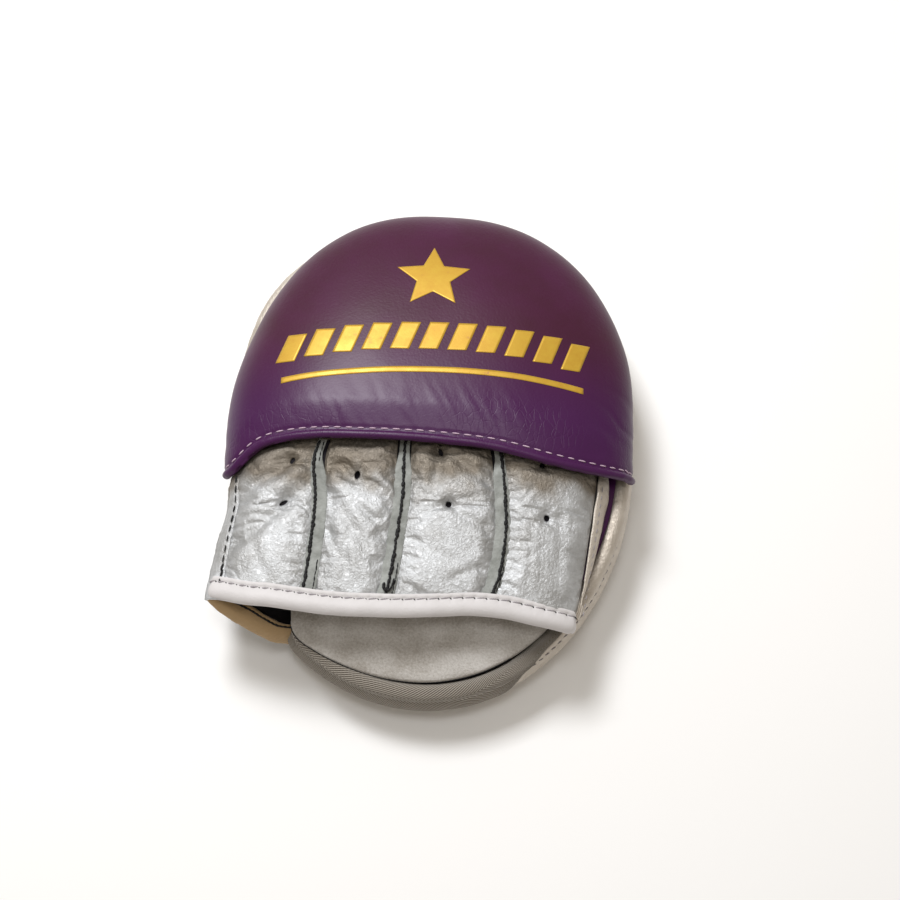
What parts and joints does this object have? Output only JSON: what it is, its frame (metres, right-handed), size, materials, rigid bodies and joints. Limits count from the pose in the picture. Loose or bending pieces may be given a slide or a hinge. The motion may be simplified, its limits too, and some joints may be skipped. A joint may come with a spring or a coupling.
{
  "type": "focus mitt",
  "caption": "Small curved boxing focus mitt for the right hand: foam pad with a rolled edge, padded finger hood, open-back glove with finger stalls and a thumb stall.",
  "frame": {"origin": "centre of the flat striking face, which the mitt lies on", "axes": "+Z out of the back, where the hand goes in; +Y to the fingertips; -X to the thumb"},
  "size_m": [0.167, 0.2094, 0.0619],
  "materials": {
    "hood_leather": "smooth satin",
    "silver_leather": "metallic foil coated, fine grain",
    "rim_leather": "metallic foil coated, fine wrinkles",
    "strip_leather": "matt",
    "binding_leather": "smooth matt",
    "suede": "suede",
    "twill_tape": "herringbone weave",
    "lining_cloth": "plain weave",
    "dark_lining": "plain weave",
    "foam": "closed-cell foam",
    "gold_foil": "hot-pressed foil",
    "white_thread": "bonded thread",
    "black_thread": "bonded thread",
    "grey_thread": "bonded thread"
  },
  "bodies": {
    "pad": {"strike_face": "hood_leather", "front_foam": "foam", "core_foam": "foam", "back_foam": "foam", "side_gusset": "rim_leather", "rim_roll": "rim_leather", "back_panel": "hood_leather", "palm_cushion": "foam", "palm_lining": "suede", "edge_tape": "twill_tape", "hood_shell": "hood_leather", "hood_foam": "foam", "hood_lining": "dark_lining", "hood_hem_roll": "hood_leather", "hood_hem_thread": "white_thread", "hood_print": "gold_foil", "index_sleeve": "silver_leather", "middle_sleeve": "silver_leather", "ring_sleeve": "silver_leather", "little_sleeve": "silver_leather", "divider_index_middle": "silver_leather", "divider_middle_ring": "silver_leather", "divider_ring_little": "silver_leather", "thumb_root_sleeve": "silver_leather", "thumb_floor_panel": "lining_cloth"},
    "glove_back": {"index_back_panel": "silver_leather", "middle_back_panel": "silver_leather", "ring_back_panel": "silver_leather", "little_back_panel": "silver_leather", "seam_strip_index_middle": "strip_leather", "seam_strip_middle_ring": "strip_leather", "seam_strip_ring_little": "strip_leather", "thread_index": "black_thread", "thread_middle_left": "black_thread", "thread_middle_right": "black_thread", "thread_ring_left": "black_thread", "thread_ring_right": "black_thread", "thread_little": "black_thread", "back_lining": "lining_cloth", "thumb_side_strip": "silver_leather", "thumb_side_thread": "black_thread", "cuff_binding": "binding_leather", "cuff_thread": "grey_thread"},
    "thumb_stall": {"thumb_tip_back": "silver_leather", "thumb_tip_front": "silver_leather", "thumb_tip_thread": "black_thread"}
  },
  "joints": [
    {"name": "cuff_lift", "type": "hinge", "parent": "pad", "child": "glove_back", "pos_m": [0, -0.012, 0.051], "axis": [-1, 0, 0], "range_deg": [0, 12]},
    {"name": "thumb_swing", "type": "hinge", "parent": "pad", "child": "thumb_stall", "pos_m": [-0.058, -0.049, 0.02], "axis": [0, 0, 1], "range_deg": [0, 22], "stiffness_Nm_per_rad": 0.02}
  ]
}
